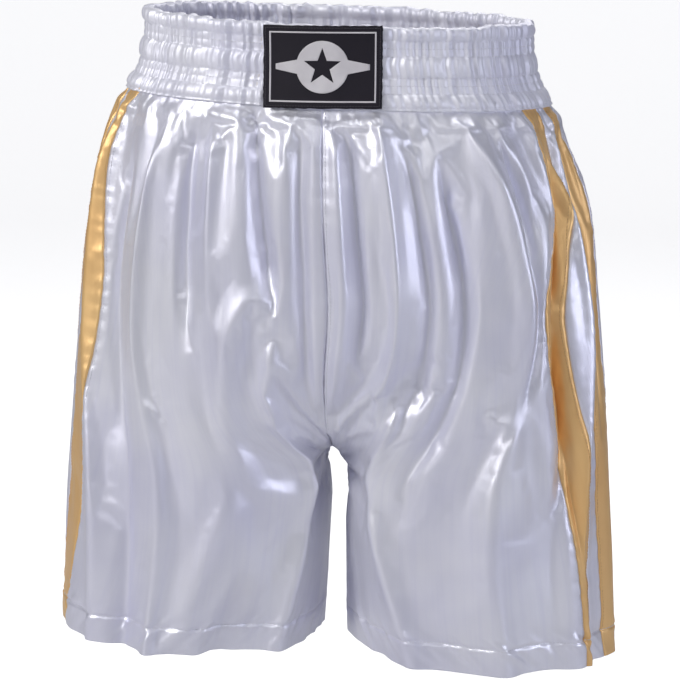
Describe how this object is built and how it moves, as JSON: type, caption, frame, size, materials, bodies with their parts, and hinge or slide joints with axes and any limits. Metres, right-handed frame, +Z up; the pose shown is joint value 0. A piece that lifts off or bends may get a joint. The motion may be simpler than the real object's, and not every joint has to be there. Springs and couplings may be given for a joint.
{
  "type": "boxing shorts",
  "caption": "Satin boxing shorts with a wide stitched elastic waistband, gathered wide legs, pieced gold and white side stripes and a woven badge at the front of the waist.",
  "frame": {"origin": "centre of the waist opening, at the top edge of the waistband", "axes": "+Z up along the wearer's spine, -Y to the front, +X to the wearer's left"},
  "size_m": [0.4376, 0.2346, 0.4801],
  "materials": {
    "white_satin": "satin",
    "gold_satin": "satin",
    "elastic": "matte",
    "white_thread": "matte",
    "gold_thread": "matte",
    "badge_weave": "matte",
    "badge_print": "matte",
    "badge_thread": "matte",
    "tag_tape": "matte"
  },
  "bodies": {
    "root": {"waistband_casing": "white_satin", "waistband_elastic": "elastic", "waistband_stitch_row_1": "white_thread", "waistband_stitch_row_2": "white_thread", "waistband_stitch_row_3": "white_thread", "waistband_stitch_row_4": "white_thread", "waistband_stitch_row_5": "white_thread", "waistband_stitch_row_6": "white_thread", "waist_seam_thread": "white_thread", "front_rise_seam_thread": "white_thread", "back_rise_seam_thread": "white_thread", "left_front_panel_seam_thread": "white_thread", "left_back_panel_seam_thread": "white_thread", "right_front_panel_seam_thread": "white_thread", "right_back_panel_seam_thread": "white_thread", "left_inseam_thread": "white_thread", "left_hem_thread": "white_thread", "right_inseam_thread": "white_thread", "right_hem_thread": "white_thread", "left_front_gold_seam_thread": "gold_thread", "left_rear_gold_seam_thread": "gold_thread", "right_front_gold_seam_thread": "gold_thread", "right_rear_gold_seam_thread": "gold_thread", "front_left_panel": "white_satin", "back_left_panel": "white_satin", "front_right_panel": "white_satin", "back_right_panel": "white_satin", "left_white_stripe": "white_satin", "right_white_stripe": "white_satin", "left_front_gold_stripe": "gold_satin", "left_rear_gold_stripe": "gold_satin", "right_front_gold_stripe": "gold_satin", "right_rear_gold_stripe": "gold_satin", "badge_backing": "badge_weave", "badge_border": "badge_print", "badge_emblem": "badge_print", "badge_stitch_thread": "badge_thread", "care_tag": "tag_tape"}
  },
  "joints": []
}
